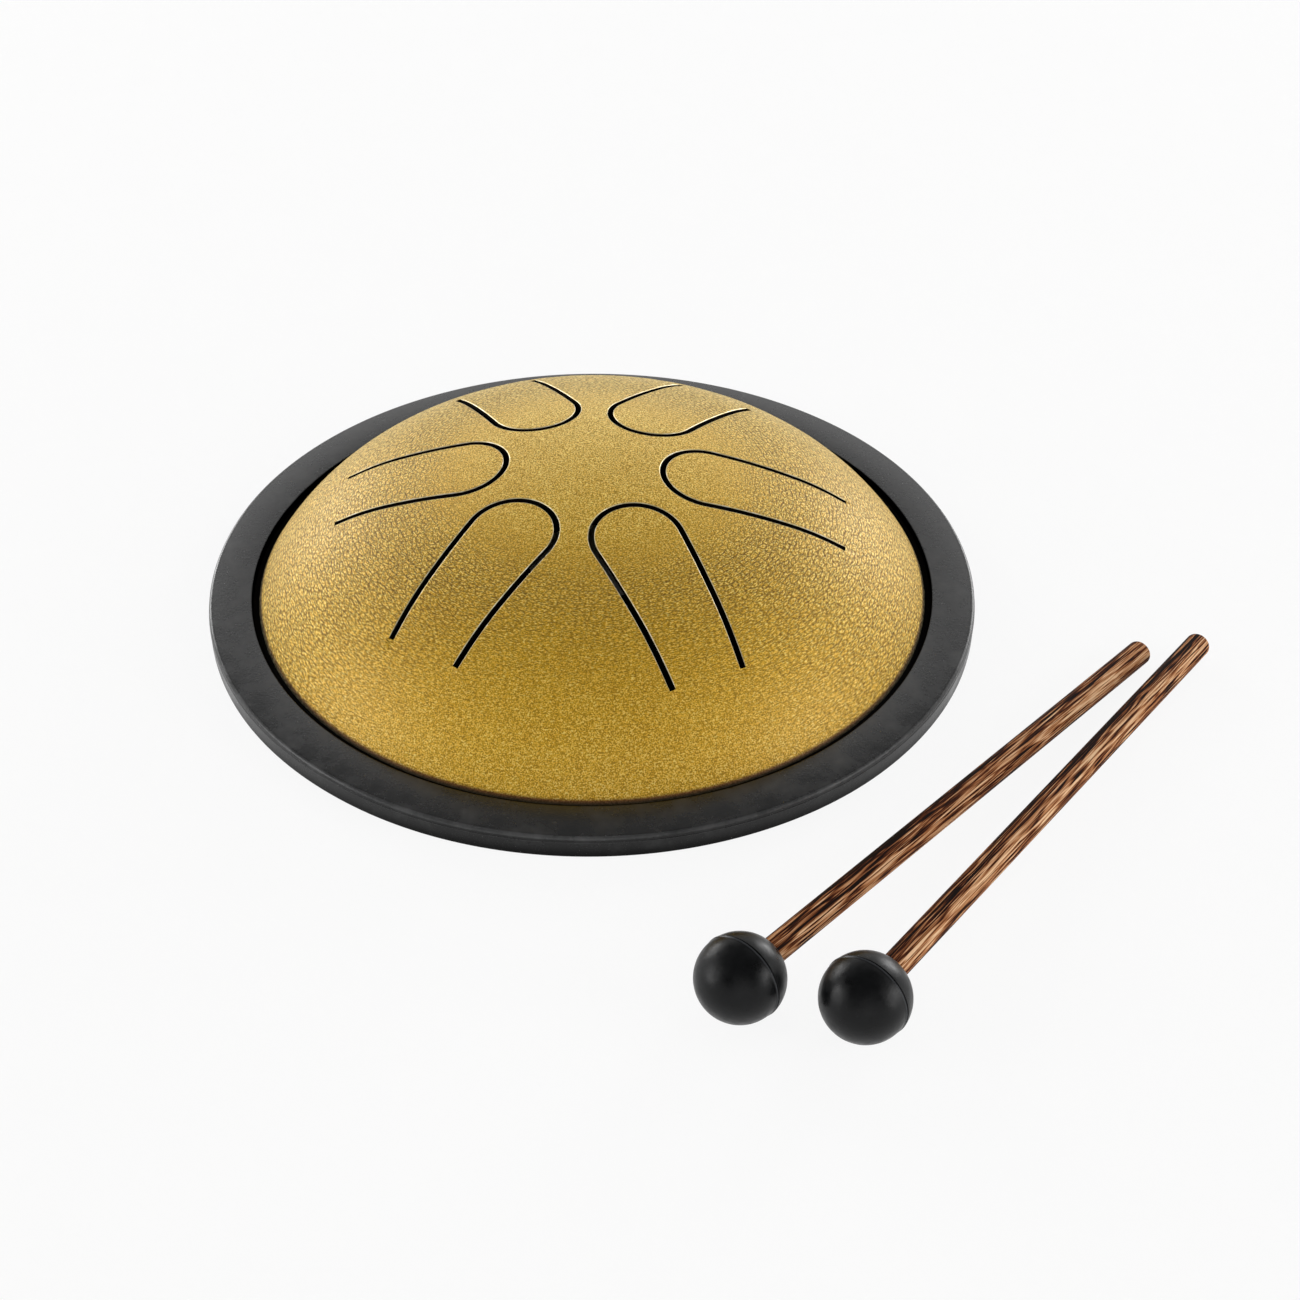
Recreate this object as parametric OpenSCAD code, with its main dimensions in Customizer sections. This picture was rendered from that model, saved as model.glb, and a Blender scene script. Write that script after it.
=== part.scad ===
// Steel tongue drum with two mallets. Millimetres, +Z up.
// The origin is on the dome's axis, in the plane that the rubber ring rests on.
// +X is the player's right and -Y is the player's side.

/* [Top shell] */
// Height of the dome's crown above the table
crown_height = 38.5; // [32:0.5:44]
// Sphere radius of the crown's outer face
crown_radius = 138; // [120:1:160]
// Distance from the axis where the crown meets the shoulder
shoulder_start = 47.5; // [40:0.5:52]
// Radius of the shoulder's outer face, seen in section
shoulder_radius = 59.6; // [56:0.2:62]
// Thickness of the top shell's steel
shell_wall = 1; // [0.8:0.1:1.4]
// Radius of the inside corner between dome and flange
flange_fillet = 0.8; // [0.4:0.1:1.2]

/* [Tongues] */
// Turn of the whole tongue pattern about the dome's axis, in degrees
pattern_turn = -4.2; // [-10:0.1:10]
// Sideways place of the tongue pattern's centre
pattern_x = -1.7; // [-3:0.1:3]
// Distance from the pattern's centre to the middle of every tongue's round tip
tip_centre = 28.3; // [27:0.1:32]
// Radius of the slot's middle line round every tip
tip_radius = 10.3; // [8:0.1:11]
// Width of the slots
slot_width = 1.2; // [0.8:0.1:1.6]
// Gap that parts a tongue from the shell at its root
root_gap = 0.08; // [0.06:0.01:0.12]
// Slot reach from the pattern's centre, right tongue
right_reach = 60.4; // [50:0.1:64]
// Slot reach, back right tongue
back_right_reach = 55.3; // [50:0.1:64]
// Slot reach, back left tongue
back_left_reach = 53; // [50:0.1:64]
// Slot reach, left tongue
left_reach = 57; // [50:0.1:64]
// Slot reach, front left tongue
front_left_reach = 60.4; // [50:0.1:64]
// Slot reach, front right tongue
front_right_reach = 63.4; // [50:0.1:64]
// Distance between the slots' ends, right tongue
right_root = 18.3; // [16:0.1:20.4]
// Distance between the slots' ends, back right tongue
back_right_root = 19.9; // [16:0.1:20.4]
// Distance between the slots' ends, back left tongue
back_left_root = 20; // [16:0.1:20.4]
// Distance between the slots' ends, left tongue
left_root = 18.5; // [16:0.1:20.4]
// Distance between the slots' ends, front left tongue
front_left_root = 17.6; // [16:0.1:20.4]
// Distance between the slots' ends, front right tongue
front_right_root = 16.8; // [16:0.1:20.4]

/* [Bottom shell] */
// Thickness of the bottom shell's steel
bottom_wall = 1; // [0.8:0.1:1.4]
// How far the bottom shell is dished up at its middle
dish_rise = 8; // [5:0.5:12]
// Flat margin between the dome's inside foot and the dished area
dish_margin = 2; // [1:0.1:6]
// Radius of the sound hole
sound_hole_radius = 15; // [10:0.5:20]

/* [Rubber ring] */
// Gap between the dome's foot and the ring's opening
ring_gap = 1.14; // [0.7:0.02:3]
// Width of the ring, from its opening to its outside
ring_width = 10.2; // [9:0.1:16]
// Height of the ring
ring_height = 5.6; // [4.4:0.1:8]
// Rounding of the ring's corners
ring_corner = 0.8; // [0.4:0.1:1.2]
// How far the two steel flanges reach into the ring
flange_grip = 6.7; // [4:0.1:7.4]
// Radius of the weld bead that joins the flanges' edges
weld_radius = 0.45; // [0.3:0.05:0.7]
// Clearance between the weld bead and the ring's groove
groove_clearance = 0.15; // [0.1:0.05:0.4]

/* [Mallets] */
// Radius of a mallet's rubber ball
ball_radius = 9.15; // [7:0.05:12]
// Radius of a mallet's wooden handle
handle_radius = 2.85; // [2.4:0.05:3.4]
// Distance from the ball's centre to the handle's far end
handle_reach = 147.6; // [120:0.2:180]
// How far the handle passes the ball's centre inside the ball
handle_depth = 4; // [2:0.5:6]
// Rounding of the handle's far end
handle_end_radius = 1.2; // [0.6:0.1:2]
// Glue gap between handle and ball
glue_gap = 0.03; // [0.02:0.01:0.06]
// Place of the left mallet's ball, sideways
left_ball_x = 30.8; // [20:0.1:45]
// Place of the left mallet's ball, front to back
left_ball_y = -132.5; // [-150:0.1:-125]
// Direction of the left mallet's handle, in degrees
left_azimuth = 48.7; // [44:0.1:54]
// Place of the right mallet's ball, sideways
right_ball_x = 54.6; // [50:0.1:75]
// Place of the right mallet's ball, front to back
right_ball_y = -137.4; // [-150:0.1:-125]
// Direction of the right mallet's handle, in degrees
right_azimuth = 53.7; // [50:0.1:60]

/* [Hidden] */
$fn = 96;

gold = "goldenrod";
rubber_black = "#26272a";
dark_wood = "#8a5a3c";
weld_grey = "#8f9194";

// Length by which a cutting solid passes the face that it cuts
overrun = 5;
// How far a circle and what it is tangent to lap over, so that they cross cleanly
tangent_tuck = 0.02;

// The two flanges lie face to face in the seam plane, halfway up the ring
seam_z = ring_height / 2;
flange_top = seam_z + shell_wall;
flange_underside = seam_z - bottom_wall;

// Section of the dome: a crown arc about a point on the axis, and a shoulder arc tangent to it
blend_angle = asin(shoulder_start / crown_radius);
crown_centre_z = crown_height - crown_radius;
centre_step = crown_radius - shoulder_radius;
shoulder_centre_r = centre_step * sin(blend_angle);
shoulder_centre_z = crown_centre_z + centre_step * cos(blend_angle);

// Distance from the axis of the shoulder arc, moved out by a distance, at a height
function shoulder_r(move, z) =
    shoulder_centre_r + sqrt(pow(shoulder_radius + move, 2) - pow(z - shoulder_centre_z, 2));

// The tongues, in turn anticlockwise from the right: reach and root width
tongue_pitch = 60;
reaches = [right_reach, back_right_reach, back_left_reach,
           left_reach, front_left_reach, front_right_reach];
roots = [right_root, back_right_root, back_left_root,
         left_root, front_left_root, front_right_root];

// Angle at the tip's centre where the straight slot meets the round one, for a side moved out
function tangent_angle(i, side) =
    let (dx = reaches[i] - tip_centre, dy = roots[i] / 2 + side)
    atan2(dy, dx) + acos((tip_radius + side) / norm([dx, dy]));

// The ring, the flanges and the dished bottom all follow the dome's foot
ring_opening = shoulder_r(0, flange_top) + ring_gap;
ring_radius = ring_opening + ring_width;
flange_radius = ring_opening + flange_grip;
groove_radius = flange_radius + weld_radius + groove_clearance;
dish_radius = shoulder_r(-shell_wall, seam_z) - dish_margin;

// The dished bottom is part of a sphere
dish_sphere = (pow(dish_radius, 2) + pow(dish_rise, 2)) / (2 * dish_rise);
dish_centre_z = flange_underside + dish_rise - dish_sphere;

// The handle slopes down until the edge of its far end rests on the table
handle_slope = asin((ball_radius - handle_radius) / (handle_reach - handle_end_radius));

// Solid section under the dome, its face moved out by a distance, down to the seam plane
module dome_section(move) {
    sector_reach = crown_radius + overrun;
    intersection() {
        union() {
            intersection() {
                translate([0, crown_centre_z]) circle(crown_radius + move, $fn = 360);
                polygon([[0, crown_centre_z],
                         [sector_reach * tan(blend_angle), crown_centre_z + sector_reach],
                         [0, crown_centre_z + sector_reach]]);
            }
            translate([shoulder_centre_r, shoulder_centre_z])
                circle(shoulder_radius + move, $fn = 360);
        }
        translate([0, seam_z]) square([ring_radius, crown_height]);
    }
}

// Concave corner between the dome and its flange, reaching half into both sheets
module fillet_section() {
    centre_z = flange_top + flange_fillet;
    centre_r = shoulder_r(flange_fillet, centre_z);
    inner_share = (shoulder_radius - shell_wall / 2) / (shoulder_radius + flange_fillet);
    inner_r = shoulder_centre_r + (centre_r - shoulder_centre_r) * inner_share;
    inner_z = shoulder_centre_z + (centre_z - shoulder_centre_z) * inner_share;
    root_z = flange_top - shell_wall / 2;
    difference() {
        polygon([[inner_r, root_z], [centre_r, root_z], [centre_r, centre_z], [inner_r, inner_z]]);
        translate([centre_r, centre_z]) circle(flange_fillet + tangent_tuck);
    }
}

// The formed sheet, before the tongues are cut
module dome_sheet() {
    rotate_extrude($fn = 180) difference() {
        dome_section(0);
        dome_section(-shell_wall);
    }
}

// Plan of one tongue: its slot's middle line, moved out by side, as far as a reach
module tongue_plan(i, side, reach) {
    angle = tangent_angle(i, side);
    tip = tip_radius + side;
    touch = [tip_centre + (tip - tangent_tuck) * cos(angle), (tip - tangent_tuck) * sin(angle)];
    half_root = roots[i] / 2 + side;
    slope = (half_root - touch.y) / (reaches[i] - touch.x);
    end_y = half_root + slope * (reach - reaches[i]);
    polygon([[touch.x, -touch.y], [reach, -end_y], [reach, end_y], [touch.x, touch.y]]);
    translate([tip_centre, 0]) circle(tip, $fn = 90);
}

module tongue_prism(i, side, reach) {
    translate([pattern_x, 0, flange_top]) rotate(pattern_turn + i * tongue_pitch)
        linear_extrude(crown_height) tongue_plan(i, side, reach);
}

module tongue(i) {
    color(gold) intersection() {
        dome_sheet();
        tongue_prism(i, -slot_width / 2, reaches[i] - root_gap);
    }
}

module top_shell() {
    color(gold) difference() {
        union() {
            dome_sheet();
            rotate_extrude($fn = 180) {
                inner_r = shoulder_r(-shell_wall, seam_z);
                translate([inner_r, seam_z]) square([flange_radius - inner_r, shell_wall]);
                fillet_section();
            }
        }
        for (i = [0 : len(reaches) - 1]) tongue_prism(i, slot_width / 2, reaches[i]);
    }
}

module bottom_shell() {
    pan_width = flange_radius - sound_hole_radius;
    color(gold) rotate_extrude($fn = 180) difference() {
        translate([sound_hole_radius, flange_underside]) union() {
            square([pan_width, bottom_wall]);
            intersection() {
                square([pan_width, crown_height]);
                translate([-sound_hole_radius, dish_centre_z - flange_underside])
                    circle(dish_sphere + bottom_wall, $fn = 720);
            }
        }
        translate([0, dish_centre_z]) circle(dish_sphere, $fn = 720);
    }
}

module seam_weld() {
    color(weld_grey) rotate_extrude($fn = 180) intersection() {
        translate([flange_radius, seam_z]) circle(weld_radius, $fn = 32);
        translate([flange_radius, seam_z - weld_radius])
            square([weld_radius, 2 * weld_radius]);
    }
}

// Rubber ring: a flat bar with round corners and a groove that grips both flanges
module rubber_ring() {
    color(rubber_black) rotate_extrude($fn = 180) difference() {
        translate([ring_opening, 0]) union() {
            translate([ring_corner, 0]) square([ring_width - 2 * ring_corner, ring_height]);
            translate([0, ring_corner]) square([ring_width, ring_height - 2 * ring_corner]);
            for (x = [ring_corner, ring_width - ring_corner])
                for (z = [ring_corner, ring_height - ring_corner])
                    translate([x, z]) circle(ring_corner, $fn = 32);
        }
        translate([ring_opening - overrun, flange_underside])
            square([groove_radius - ring_opening + overrun, flange_top - flange_underside]);
    }
}

// A mallet's own frame has the ball's centre at the origin and the handle along +Z
module place_mallet(x, y, azimuth) {
    translate([x, y, ball_radius]) rotate([0, 90 + handle_slope, azimuth]) children();
}

module handle() {
    length = handle_reach + handle_depth;
    color(dark_wood) rotate_extrude() translate([0, -handle_depth]) union() {
        square([handle_radius, length - handle_end_radius]);
        square([handle_radius - handle_end_radius, length]);
        translate([handle_radius - handle_end_radius, length - handle_end_radius])
            circle(handle_end_radius, $fn = 32);
    }
}

module ball() {
    color(rubber_black) difference() {
        sphere(ball_radius);
        translate([0, 0, -handle_depth - glue_gap])
            cylinder(r = handle_radius + glue_gap, h = handle_depth + ball_radius + overrun);
    }
}

module mallet_left_handle() { place_mallet(left_ball_x, left_ball_y, left_azimuth) handle(); }
module mallet_left_head() { place_mallet(left_ball_x, left_ball_y, left_azimuth) ball(); }
module mallet_right_handle() { place_mallet(right_ball_x, right_ball_y, right_azimuth) handle(); }
module mallet_right_head() { place_mallet(right_ball_x, right_ball_y, right_azimuth) ball(); }

top_shell();
tongue(0);  // tongue_right
tongue(1);  // tongue_back_right
tongue(2);  // tongue_back_left
tongue(3);  // tongue_left
tongue(4);  // tongue_front_left
tongue(5);  // tongue_front_right
bottom_shell();
seam_weld();
rubber_ring();
mallet_left_handle();
mallet_left_head();
mallet_right_handle();
mallet_right_head();
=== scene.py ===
# %% [markdown]
# # A steel tongue drum and its two mallets
# The drum is a thin steel dome with six tongues cut into it, gripped at its foot by a flat
# rubber ring. Two loose mallets with rubber heads lie beside it. This file dresses the drum's
# CAD model: it makes a smooth surface for each piece, gives it a finish, lights it and sets
# the camera.

from math import asin, cos, radians, sin, sqrt

import bmesh
import bpy
import numpy as np
from mathutils import Matrix, Vector


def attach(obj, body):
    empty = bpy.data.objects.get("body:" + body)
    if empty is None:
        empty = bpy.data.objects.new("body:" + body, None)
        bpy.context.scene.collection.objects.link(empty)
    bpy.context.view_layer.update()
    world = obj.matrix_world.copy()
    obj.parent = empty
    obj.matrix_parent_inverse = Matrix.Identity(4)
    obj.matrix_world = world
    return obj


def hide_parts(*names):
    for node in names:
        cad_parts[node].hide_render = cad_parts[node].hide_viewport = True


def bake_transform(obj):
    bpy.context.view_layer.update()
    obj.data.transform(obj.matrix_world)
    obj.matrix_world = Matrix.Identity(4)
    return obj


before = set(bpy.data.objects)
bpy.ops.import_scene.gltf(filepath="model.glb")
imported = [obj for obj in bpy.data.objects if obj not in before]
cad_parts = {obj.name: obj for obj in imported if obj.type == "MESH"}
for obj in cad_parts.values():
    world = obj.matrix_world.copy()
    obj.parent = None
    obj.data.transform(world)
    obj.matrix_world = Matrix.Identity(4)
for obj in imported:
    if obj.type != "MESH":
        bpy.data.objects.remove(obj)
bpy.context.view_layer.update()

# %% [markdown]
# ## Camera
# A photograph of a round thing gives its camera away: the ring's outline is an ellipse, and
# how flat it is gives the height that it was seen from. A camera can be placed by eye, but a
# fit of the ring, the slots and the mallets to the picture is closer, and these values come
# from such a fit. The camera looks down at 39 degrees from about 0.57 m, through a long lens.

# %% Place the camera
CAMERA_PLACE = (0.01115, -0.44897, 0.34515)
CAMERA_DOWN = radians(38.864)
CAMERA_TURN = radians(0.324)
CAMERA_ROLL = radians(0.552)
LENS_MM = 65.79
SENSOR_MM = 36.0
NEAREST_SEEN = 0.01
FARTHEST_SEEN = 20.0


def camera_matrix(place, down, turn, roll):
    """Looks along (sin turn cos down, cos turn cos down, -sin down), then rolls about that line."""
    ahead = Vector((sin(turn) * cos(down), cos(turn) * cos(down), -sin(down)))
    level = Vector((cos(turn), -sin(turn), 0.0))
    upright = level.cross(ahead)
    right = level * cos(roll) + upright * sin(roll)
    up = upright * cos(roll) - level * sin(roll)
    turned = Matrix((right, up, -ahead)).transposed().to_4x4()
    return Matrix.Translation(place) @ turned


camera_data = bpy.data.cameras.new("photo_camera")
camera_data.lens = LENS_MM
camera_data.sensor_width = SENSOR_MM
camera_data.clip_start = NEAREST_SEEN
camera_data.clip_end = FARTHEST_SEEN
camera = bpy.data.objects.new("photo_camera", camera_data)
camera.matrix_world = camera_matrix(CAMERA_PLACE, CAMERA_DOWN, CAMERA_TURN, CAMERA_ROLL)
bpy.context.collection.objects.link(camera)
bpy.context.scene.camera = camera
print("camera height:", CAMERA_PLACE[2], "m")

# %% [markdown]
# ## From arrays to a mesh
# Every new surface here is worked out as whole arrays of points in millimetres. A grid of
# points becomes a grid of four-sided faces, several grids are joined, and points that fall on
# the same spot are welded into one, which closes the seams and poles. Blender gets the result
# in one call. Building the same shapes from Blender's own cylinders and cuts would leave
# slivers along the slots, and grids that follow the slots don't.

# %% Join grids into one mesh
MM = 0.001
WELD_STEP = 1e-4


def grid_faces(rows, columns):
    """Face (i, j) joins points (i, j), (i, j+1), (i+1, j+1) and (i+1, j), counted row by row."""
    corner = np.arange((rows - 1) * columns).reshape(rows - 1, columns)[:, :-1].reshape(-1)
    return np.stack([corner, corner + 1, corner + columns + 1, corner + columns], axis=1)


def closed_mesh(name, grids, place=None, along=None, shift=0.0):
    """Joins grids of points, welds equal points and drops faces with no area.

    A grid is (points[rows, columns, 3], face_kinds[rows - 1]), the kind being a material's number.
    place turns and moves the finished points. along stores the points' places before that,
    with shift added to z.
    """
    points, faces, kinds, start = [], [], [], 0
    for spots, kind in grids:
        rows, columns = spots.shape[:2]
        points.append(spots.reshape(-1, 3))
        faces.append(grid_faces(rows, columns) + start)
        kinds.append(np.repeat(np.broadcast_to(kind, rows - 1), columns - 1))
        start += rows * columns
    points, faces, kinds = np.concatenate(points), np.concatenate(faces), np.concatenate(kinds)
    keys = np.round(points / WELD_STEP).astype(np.int64)
    _, first, welded = np.unique(keys, axis=0, return_index=True, return_inverse=True)
    points, faces = points[first], welded.reshape(-1)[faces]
    same = faces == np.roll(faces, -1, axis=1)
    quads, halves = same.sum(1) == 0, same.sum(1) == 1
    triangles = faces[halves][~same[halves]].reshape(-1, 3)
    mesh = bpy.data.meshes.new(name)
    spots = points * MM
    if place is not None:
        spots = spots @ np.array(place.to_3x3()).T + np.array(place.translation)
    mesh.from_pydata(spots.tolist(), [], faces[quads].tolist() + triangles.tolist())
    mesh.polygons.foreach_set("material_index", np.concatenate([kinds[quads], kinds[halves]]))
    if along is not None:
        own = mesh.attributes.new(along, "FLOAT_VECTOR", "POINT")
        own.data.foreach_set("vector", (points + [0, 0, shift]).astype(np.float32).reshape(-1))
    mesh.validate()
    return mesh


print("points closer than", WELD_STEP, "mm become one")

# %% [markdown]
# ## From a mesh to a piece
# A closed surface has an outside, and Blender shades it rightly only when all its faces point
# there. After that is seen to, edges that turn by more than 40 degrees are marked sharp, so
# that rims stay crisp while the sheet between them is smooth. Each piece then takes the
# place of a node of the CAD model, which is hidden, and gets its finishes.

# %% Put a mesh in the scene
SHARP_ANGLE = radians(40)


def outward(mesh):
    """Turns all faces outward, marks sharp edges, and counts edges without just two faces."""
    shape = bmesh.new()
    shape.from_mesh(mesh)
    bmesh.ops.recalc_face_normals(shape, faces=shape.faces)
    open_edges = sum(1 for edge in shape.edges if len(edge.link_faces) != 2)
    shape.to_mesh(mesh)
    shape.free()
    mesh.set_sharp_from_angle(angle=SHARP_ANGLE)
    return open_edges


def add_piece(name, mesh, finishes, nodes):
    """Puts a mesh in the scene in place of CAD nodes, with its finishes in order of their kind."""
    open_edges = outward(mesh)
    piece = bpy.data.objects.new(name, mesh)
    bpy.context.collection.objects.link(piece)
    for finish in finishes:
        mesh.materials.append(finish)
    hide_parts(*nodes)
    sides = sum(len(face.vertices) - 2 for face in mesh.polygons)
    print(f"{name}: {sides} triangles, {open_edges} open edges")
    return piece


# %% [markdown]
# ## Colours and nodes
# Colours are written as they look on a screen and turned to linear light here. One small
# function adds a node of any kind, sets its values and links its inputs. The settings that
# come up most often have names: a smooth step, a product, and a mix of numbers or of colours.

# %% Make colours, nodes and finishes
SMOOTH = {"interpolation_type": "SMOOTHSTEP"}
TIMES = {"operation": "MULTIPLY"}
BETWEEN = {"data_type": "FLOAT"}
COLOURS = {"data_type": "RGBA"}


def colour(code):
    """Linear red, green, blue and alpha of an sRGB hex code: ((c + 0.055) / 1.055) to the 2.4."""
    parts = [int(code[place:place + 2], 16) / 255 for place in (1, 3, 5)]
    return [c / 12.92 if c <= 0.04045 else ((c + 0.055) / 1.055) ** 2.4 for c in parts] + [1.0]


def node(finish, kind, settings=(), stops=(), **inputs):
    """Adds one node. settings are its properties, and stops are a ramp's (place, hex code) pairs.

    An input goes by its name, or by n and its number, and is a value or another node's output.
    """
    tree = finish.node_tree
    made = tree.nodes.new("ShaderNode" + kind)
    for name, value in dict(settings).items():
        setattr(made, name, value)
    if stops:
        ends = made.color_ramp.elements
        while len(ends) < len(stops):
            ends.new(0.5)
        for end, (place, tint) in zip(ends, stops):
            end.position = place
            end.color = colour(tint)
    for name, value in inputs.items():
        socket = made.inputs[int(name[1:]) if name[1:].isdigit() else name.replace("_", " ")]
        if isinstance(value, bpy.types.NodeSocket):
            tree.links.new(value, socket)
        else:
            socket.default_value = value
    return made


def new_finish(name, **values):
    """A material with one Principled shader, its constant values set on the shader's sockets."""
    finish = bpy.data.materials.new(name)
    finish.use_nodes = True
    shader = finish.node_tree.nodes["Principled BSDF"]
    for key, value in values.items():
        shader.inputs[key.replace("_", " ")].default_value = value
    return finish, shader


def link(finish, output, socket):
    """Draws one line from an output to a socket."""
    finish.node_tree.links.new(output, socket)


def per_metre(size_mm):
    """Repeats per metre of a pattern that is this wide: 1000 / size."""
    return 1000.0 / size_mm


print("middle grey in linear light:", round(colour("#808080")[0], 3))

# %% [markdown]
# ## Gold paint with a leather grain
# The drum is powder coated with a metallic gold that wrinkles as it cures. Seen straight on it
# is a deep gold, and towards a grazing view the haze of its coat turns it pale. A bare metal
# would mirror the tent, so the paint is a rough, partly metallic base under a coat and a
# sheen. A UV map could lay the pattern out. The dome is turned about its axis, though, so two
# numbers place each point on its skin: the angle round the axis, and the distance from the
# axis less the height, which grows much as the way down the skin does.

# %% Lay out the dome's skin
def turned_places(finish):
    """A place on a turned piece: whole, as x, y and z, and as its distance from the axis."""
    place = node(finish, "TexCoord").outputs["Object"]
    axes = node(finish, "SeparateXYZ", Vector=place)
    flat_place = node(finish, "CombineXYZ", X=axes.outputs["X"], Y=axes.outputs["Y"])
    from_axis = node(finish, "VectorMath", {"operation": "LENGTH"}, n0=flat_place.outputs[0])
    return place, axes, from_axis.outputs["Value"]


gold, gold_shader = new_finish("metallic_gold_powder_coat", Metallic=0.25, Roughness=0.6, IOR=1.7,
                               Specular_Tint=colour("#FFF0B4"), Coat_Roughness=0.42, Coat_IOR=1.6,
                               Sheen_Roughness=0.45, Sheen_Tint=colour("#FFF4C0"))
place, axes, from_axis = turned_places(gold)
round_axis = node(gold, "Math", {"operation": "ARCTAN2"}, n0=axes.outputs["X"], n1=axes.outputs["Y"])
down_skin = node(gold, "Math", {"operation": "SUBTRACT"}, n0=from_axis, n1=axes.outputs["Z"])
unrolled = node(gold, "CombineXYZ", X=down_skin.outputs[0], Y=round_axis.outputs[0])
print("finish:", gold.name)

# %% [markdown]
# ## The gold's creases
# Towards the back and the sides the skin shows a net of creases, darkened with painted shade,
# and most of them run along circles round the dome. The edges of a cell texture alone look too
# even. So rows along circles are bent by one noise and broken up by another, and the edges of
# cells, laid out along the same circles, cross them. The net sets in 2 to 4 cm from the axis
# and fades out towards the front.

# %% Draw the creases
BEND_MM = 3.2
ROW_MM = 1.4
ROW_BEND = 2.2
ROW_EDGE = 0.22
BREAK_MM = 1.8
BREAK_BAND = (0.44, 0.56)
CELL_MM = (1.4, 2.6)
CELL_EDGE = 0.2
CELL_DEPTH = 0.3
FRONT_SHARE = 0.15
CREASE_CIRCLE_MM = 60.0
CREASES_OUT = (0.022, 0.045)
CREASES_BACK = (-0.075, -0.025)

bend = node(gold, "TexNoise", Vector=place, Scale=per_metre(BEND_MM), Detail=1.5)
row_count = node(gold, "Math", TIMES, n0=down_skin.outputs[0], n1=per_metre(ROW_MM))
bent_rows = node(gold, "Math", {"operation": "MULTIPLY_ADD"}, n0=bend.outputs["Fac"], n1=ROW_BEND,
                 n2=row_count.outputs[0])
from_row = node(gold, "Math", {"operation": "PINGPONG"}, n0=bent_rows.outputs[0], n1=0.5)
row = node(gold, "MapRange", SMOOTH, Value=from_row.outputs[0], From_Max=ROW_EDGE)
breaks = node(gold, "TexNoise", Vector=place, Scale=per_metre(BREAK_MM), Detail=1.0)
broken = node(gold, "MapRange", SMOOTH, Value=breaks.outputs["Fac"], From_Min=BREAK_BAND[0],
              From_Max=BREAK_BAND[1])
dash = node(gold, "Math", {"operation": "MAXIMUM"}, n0=row.outputs[0], n1=broken.outputs[0])
cell_place = node(gold, "Mapping", Vector=unrolled.outputs[0],
                  Scale=(per_metre(CELL_MM[0]), CREASE_CIRCLE_MM / CELL_MM[1], 1.0))
cells = node(gold, "TexVoronoi", {"voronoi_dimensions": "2D", "feature": "DISTANCE_TO_EDGE"},
             Vector=cell_place.outputs[0], Scale=1.0)
cell_edge = node(gold, "MapRange", SMOOTH, Value=cells.outputs["Distance"], From_Max=CELL_EDGE,
                 To_Min=CELL_DEPTH)
crease = node(gold, "Math", TIMES, n0=dash.outputs[0], n1=cell_edge.outputs[0])
wide = node(gold, "MapRange", SMOOTH, Value=from_axis, From_Min=CREASES_OUT[0],
            From_Max=CREASES_OUT[1])
backward = node(gold, "MapRange", SMOOTH, Value=axes.outputs["Y"], From_Min=CREASES_BACK[0],
                From_Max=CREASES_BACK[1], To_Min=FRONT_SHARE)
ropes_and_crease_shade_share = node(gold, "Math", TIMES, n0=wide.outputs[0], n1=backward.outputs[0])
print("crease rows in 10 mm of skin:", round(10 / ROW_MM, 1))

# %% [markdown]
# ## The gold's grain and colours
# The whole skin is sandy, and where it is creased the sand is drawn out into short ropes. The
# real grain is finer than the picture can show, so it is drawn a third of a millimetre wide,
# which is as coarse as it needs to be. Its hills are lighter and its hollows darker, partly as
# the coat's own tone and partly as painted highlight and shade on the relief. A wide noise turns
# the paint a little paler in patches. Where the dome dips into the ring a painted shade darkens
# the gold to brown and then near-black, and the bottom pan, which is nearer to the axis, stays
# clear of that.

# %% Colour the grain
GRAIN_MM = 0.32
ROPE_MM = (0.34, 0.8)
PATCH_MM = 26.0
FOOT_SHADE = (0.0042, 0.0057)
PAN_EDGE = (0.0745, 0.0765)

fine = node(gold, "TexNoise", Vector=place, Scale=per_metre(GRAIN_MM), Detail=1.0)
rope_place = node(gold, "Mapping", Vector=unrolled.outputs[0],
                  Scale=(per_metre(ROPE_MM[0]), CREASE_CIRCLE_MM / ROPE_MM[1], 1.0))
ropes = node(gold, "TexNoise", {"noise_dimensions": "2D"}, Vector=rope_place.outputs[0], Scale=1.0,
             Detail=1.0)
grain = node(gold, "Mix", BETWEEN, n0=ropes_and_crease_shade_share.outputs[0], n2=fine.outputs["Fac"],
             n3=ropes.outputs["Fac"])
# Partly painted light: the grain's hills are lighter and its hollows darker, as highlight and shade
# would make them.
tone = node(gold, "ValToRGB", n0=grain.outputs[0],
            stops=[(0.36, "#A87C00"), (0.46, "#D09E08"), (0.55, "#F4C22C"), (0.66, "#FFE87C")])
creased = node(gold, "Mix", BETWEEN, n0=ropes_and_crease_shade_share.outputs[0], n2=1.0, n3=crease.outputs[0])
# Painted shade: the creases darken the gold towards an olive brown.
painted_crease_shade = node(gold, "ValToRGB", n0=creased.outputs[0],
                   stops=[(0.0, "#8C7A3A"), (1.0, "#FFFFFF")])
patches = node(gold, "TexNoise", Vector=place, Scale=per_metre(PATCH_MM), Detail=3.0)
warm = node(gold, "ValToRGB", n0=patches.outputs["Fac"], stops=[(0.35, "#FFFFFF"), (0.75, "#F9F6EC")])
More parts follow.
